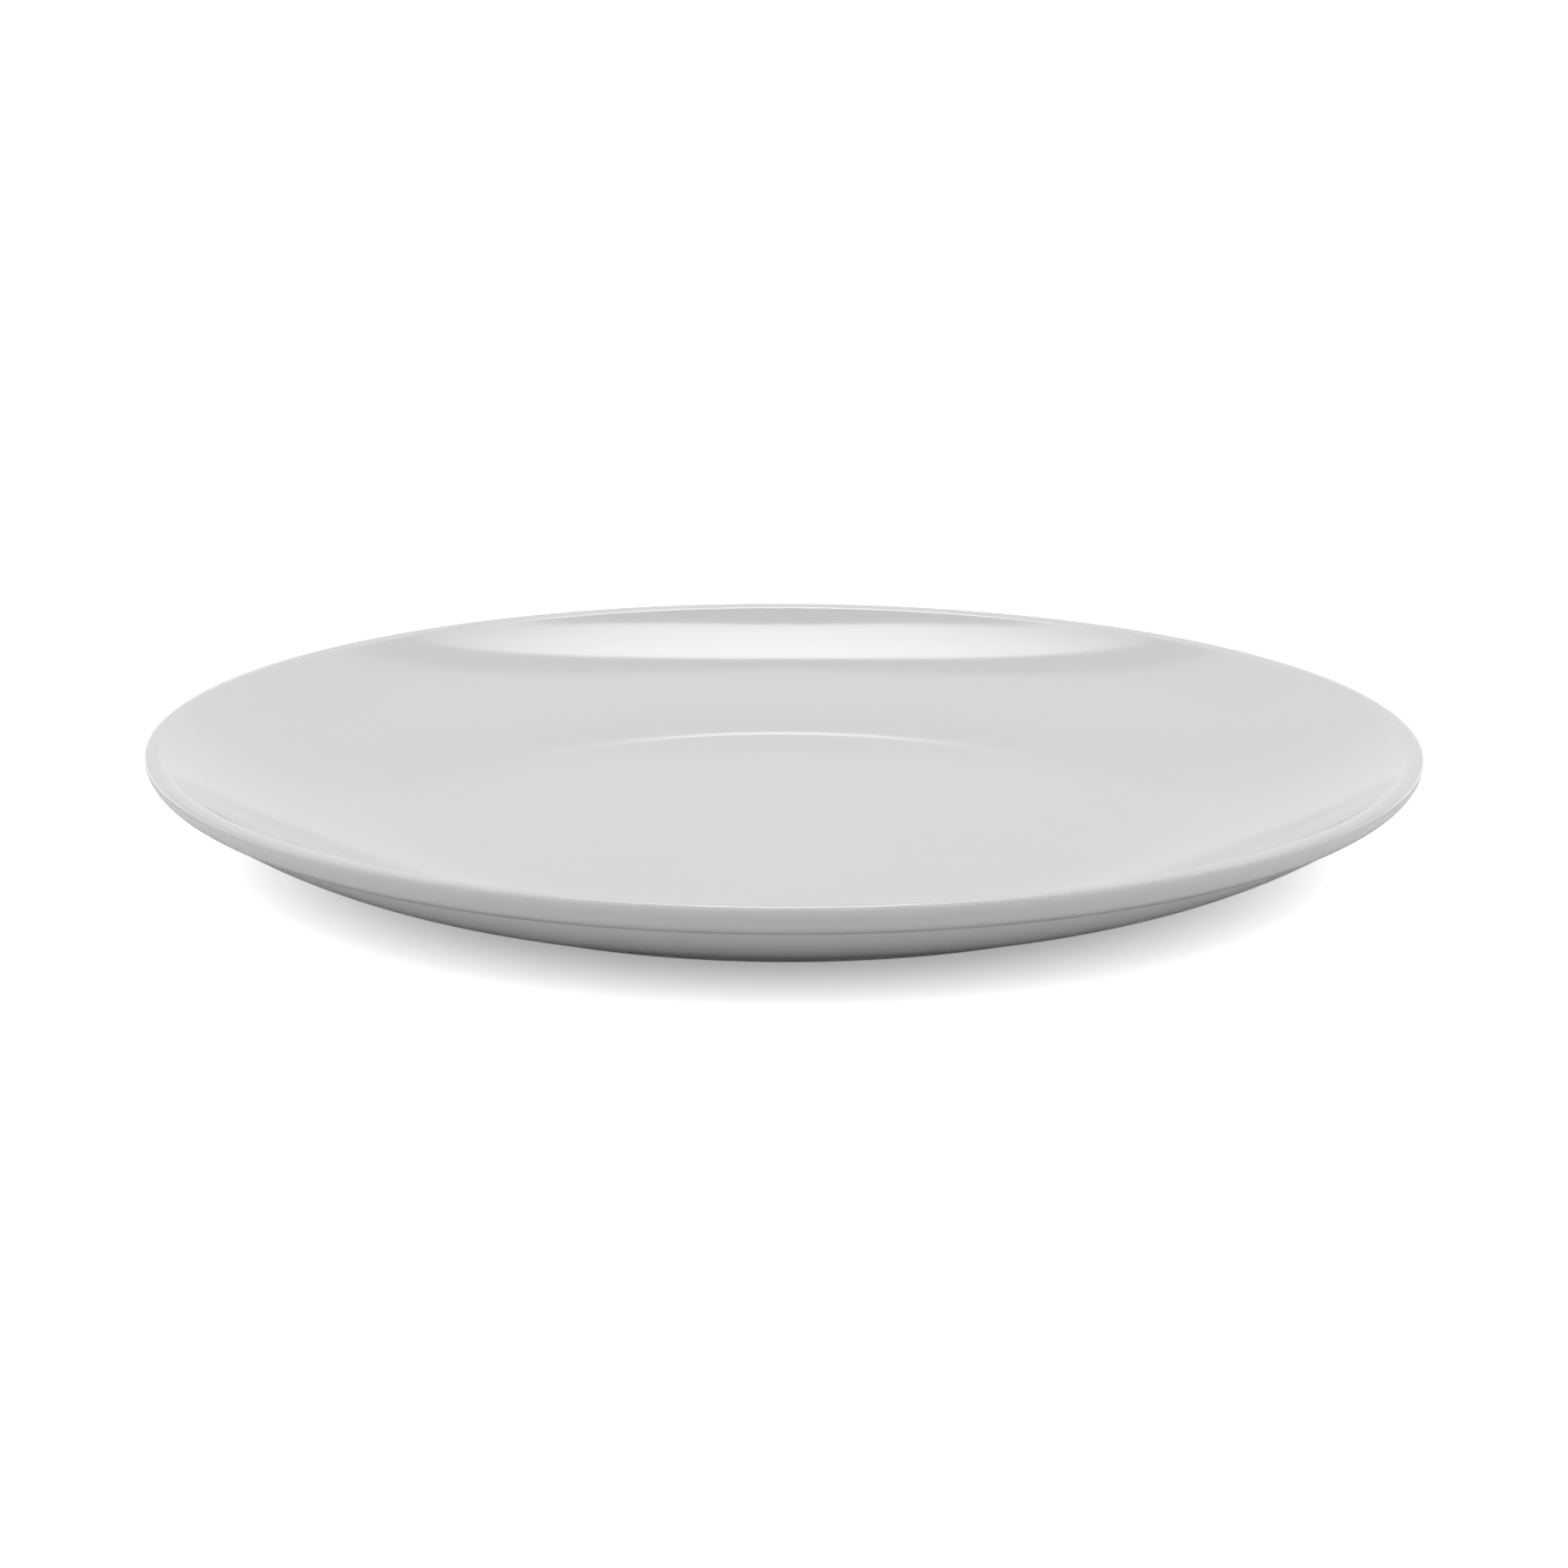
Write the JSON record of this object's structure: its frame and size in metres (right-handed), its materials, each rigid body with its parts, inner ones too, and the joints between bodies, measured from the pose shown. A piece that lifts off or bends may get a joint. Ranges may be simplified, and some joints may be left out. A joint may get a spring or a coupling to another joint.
{
  "type": "round plate",
  "caption": "Round coupe dinner plate: flat well, wall that curves up to a rolled edge, bare foot ring, white gloss glaze; holds food and stands on a table.",
  "frame": {"origin": "centre of the foot ring's standing face, on the plate's axis", "axes": "+Z along the plate's axis, up out of the well; X and Y lie in the standing plane and are alike"},
  "size_m": [0.27, 0.27, 0.024],
  "materials": {
    "fired_clay": "bare fired porcelain, matt and finely grained, ground smooth on the standing face",
    "white_glaze": "white gloss glaze over face, edge and back",
    "recess_glaze": "white glaze inside the foot ring, a little thinner and less even than on the face"
  },
  "bodies": {
    "root": {"porcelain_body": "fired_clay", "face_and_back_glaze": "white_glaze", "recess_glaze": "recess_glaze"}
  },
  "joints": []
}
